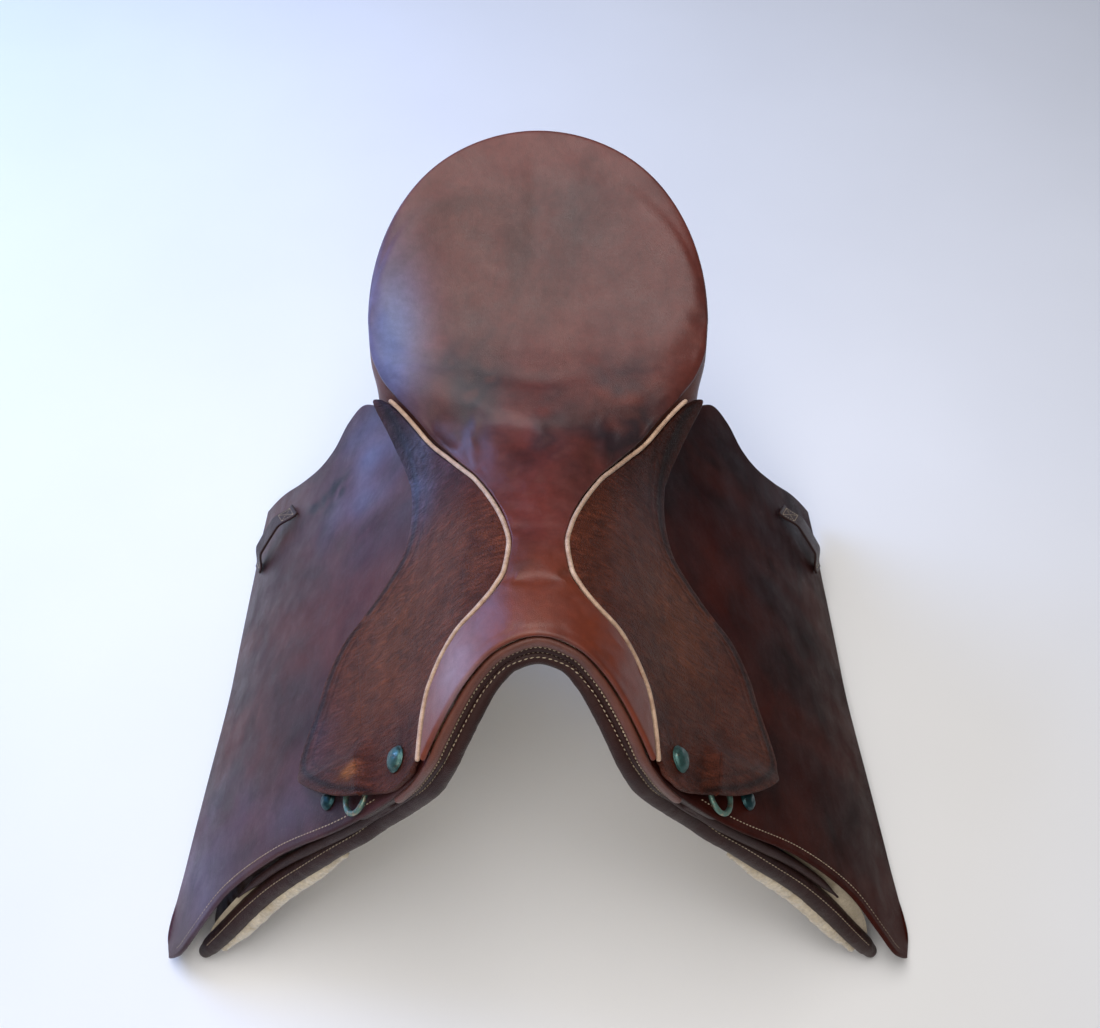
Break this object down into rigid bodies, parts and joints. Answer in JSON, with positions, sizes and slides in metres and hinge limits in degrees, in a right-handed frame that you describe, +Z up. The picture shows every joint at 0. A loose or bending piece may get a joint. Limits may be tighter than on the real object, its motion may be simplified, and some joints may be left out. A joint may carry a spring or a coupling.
{
  "type": "english saddle",
  "caption": "Full-panel English riding saddle with lifting flaps and skirts, beech tree, wool-lined panels, stirrup bars, dees and girth straps.",
  "frame": {"origin": "centre of the base: the middle of the box round the saddle, on the floor plane", "axes": "+X towards the off (right) side, +Y from pommel to cantle, +Z up"},
  "size_m": [0.5618, 0.486, 0.3873],
  "materials": {
    "seat_leather": "polished worn saddle leather",
    "flap_leather": "glossy worn saddle leather",
    "skirt_leather": "grained creased leather",
    "dark_leather": "dark edge leather",
    "strap_leather": "oiled strap leather",
    "piping": "pale raw-edge welt",
    "wool_lining": "woolly fleece",
    "canvas_web": "coarse webbing",
    "foam": "open foam",
    "steel": "satin",
    "beech": "bare beech laminate",
    "tarnished_nickel": "green tarnish"
  },
  "bodies": {
    "root": {"seat_leather": "seat_leather", "seat_foam": "foam", "seat_web_left": "canvas_web", "seat_web_right": "canvas_web", "girth_web_front": "canvas_web", "girth_web_rear": "canvas_web", "tree_head": "beech", "gullet_plate": "steel", "tree_rail_left": "beech", "tree_rail_right": "beech", "tree_cantle": "beech", "tree_spring_left": "steel", "tree_spring_right": "steel", "cantle_facing": "dark_leather", "welt_left": "piping", "welt_right": "piping", "flap_top_left": "flap_leather", "flap_top_right": "flap_leather", "skirt_top_left": "skirt_leather", "skirt_top_right": "skirt_leather", "saddle_nail_left": "tarnished_nickel", "saddle_nail_right": "tarnished_nickel", "stirrup_bar_left": "steel", "stirrup_bar_right": "steel", "catch_pin_left": "steel", "catch_pin_right": "steel", "panel_flap_left": "dark_leather", "panel_flap_right": "dark_leather", "panel_pad_left": "wool_lining", "panel_pad_right": "wool_lining", "lining_left": "wool_lining", "lining_right": "wool_lining", "arch_facing": "seat_leather", "arch_binding": "dark_leather", "front_roll_left": "dark_leather", "front_roll_right": "dark_leather"},
    "flap_left": {"flap_left": "flap_leather", "point_stud_left": "tarnished_nickel", "dee_chape_left": "dark_leather", "keeper_left": "dark_leather"},
    "flap_right": {"flap_right": "flap_leather", "point_stud_right": "tarnished_nickel", "dee_chape_right": "dark_leather", "keeper_right": "dark_leather"},
    "skirt_left": {"skirt_left": "skirt_leather"},
    "skirt_right": {"skirt_right": "skirt_leather"},
    "dee_left": {"dee_ring_left": "tarnished_nickel"},
    "dee_right": {"dee_ring_right": "tarnished_nickel"},
    "catch_left": {"bar_catch_left": "steel"},
    "catch_right": {"bar_catch_right": "steel"},
    "strap_1_left": {"girth_strap_1_left": "strap_leather"},
    "strap_1_right": {"girth_strap_1_right": "strap_leather"},
    "strap_2_left": {"girth_strap_2_left": "strap_leather"},
    "strap_2_right": {"girth_strap_2_right": "strap_leather"},
    "strap_3_left": {"girth_strap_3_left": "strap_leather"},
    "strap_3_right": {"girth_strap_3_right": "strap_leather"}
  },
  "joints": [
    {"name": "flap_left_lift", "type": "hinge", "parent": "root", "child": "flap_left", "pos_m": [-0.10035, -0.2015, 0.23302], "axis": [-0.1466, 0.9761, -0.1606], "range_deg": [0, 55]},
    {"name": "skirt_left_lift", "type": "hinge", "parent": "flap_left", "child": "skirt_left", "pos_m": [-0.10035, -0.2015, 0.23302], "axis": [-0.1466, 0.9761, -0.1606], "range_deg": [0, 60]},
    {"name": "dee_left_swing", "type": "hinge", "parent": "flap_left", "child": "dee_left", "pos_m": [-0.11663, -0.1795, 0.20887], "axis": [-0.6729, 0, -0.7398], "range_deg": [0, 12]},
    {"name": "catch_left_turn", "type": "hinge", "parent": "root", "child": "catch_left", "pos_m": [-0.10423, -0.1005, 0.21507], "axis": [0.7566, 0, -0.6538], "range_deg": [0, 80]},
    {"name": "strap_1_left_swing", "type": "hinge", "parent": "root", "child": "strap_1_left", "pos_m": [-0.06785, -0.0215, 0.25338], "axis": [0.8432, 0, -0.5376], "range_deg": [-4, 4]},
    {"name": "strap_2_left_swing", "type": "hinge", "parent": "root", "child": "strap_2_left", "pos_m": [-0.06795, 0.0145, 0.25199], "axis": [0.8291, 0, -0.5591], "range_deg": [-4, 4]},
    {"name": "strap_3_left_swing", "type": "hinge", "parent": "root", "child": "strap_3_left", "pos_m": [-0.06799, 0.0505, 0.25149], "axis": [0.8237, 0, -0.567], "range_deg": [-4, 4]},
    {"name": "flap_right_lift", "type": "hinge", "parent": "root", "child": "flap_right", "pos_m": [0.10035, -0.2015, 0.23302], "axis": [-0.1466, -0.9761, 0.1606], "range_deg": [0, 55]},
    {"name": "skirt_right_lift", "type": "hinge", "parent": "flap_right", "child": "skirt_right", "pos_m": [0.10035, -0.2015, 0.23302], "axis": [-0.1466, -0.9761, 0.1606], "range_deg": [0, 60]},
    {"name": "dee_right_swing", "type": "hinge", "parent": "flap_right", "child": "dee_right", "pos_m": [0.11663, -0.1795, 0.20887], "axis": [-0.6729, 0, 0.7398], "range_deg": [0, 12]},
    {"name": "catch_right_turn", "type": "hinge", "parent": "root", "child": "catch_right", "pos_m": [0.10423, -0.1005, 0.21507], "axis": [0.7566, 0, 0.6538], "range_deg": [0, 80]},
    {"name": "strap_1_right_swing", "type": "hinge", "parent": "root", "child": "strap_1_right", "pos_m": [0.06785, -0.0215, 0.25338], "axis": [0.8432, 0, 0.5376], "range_deg": [-4, 4]},
    {"name": "strap_2_right_swing", "type": "hinge", "parent": "root", "child": "strap_2_right", "pos_m": [0.06795, 0.0145, 0.25199], "axis": [0.8291, 0, 0.5591], "range_deg": [-4, 4]},
    {"name": "strap_3_right_swing", "type": "hinge", "parent": "root", "child": "strap_3_right", "pos_m": [0.06799, 0.0505, 0.25149], "axis": [0.8237, 0, 0.567], "range_deg": [-4, 4]}
  ],
  "couplings": [
    {"joint": "strap_1_left_swing", "follows": "strap_2_left_swing", "ratio": 1},
    {"joint": "strap_3_left_swing", "follows": "strap_2_left_swing", "ratio": 1},
    {"joint": "strap_1_right_swing", "follows": "strap_2_right_swing", "ratio": 1},
    {"joint": "strap_3_right_swing", "follows": "strap_2_right_swing", "ratio": 1}
  ]
}
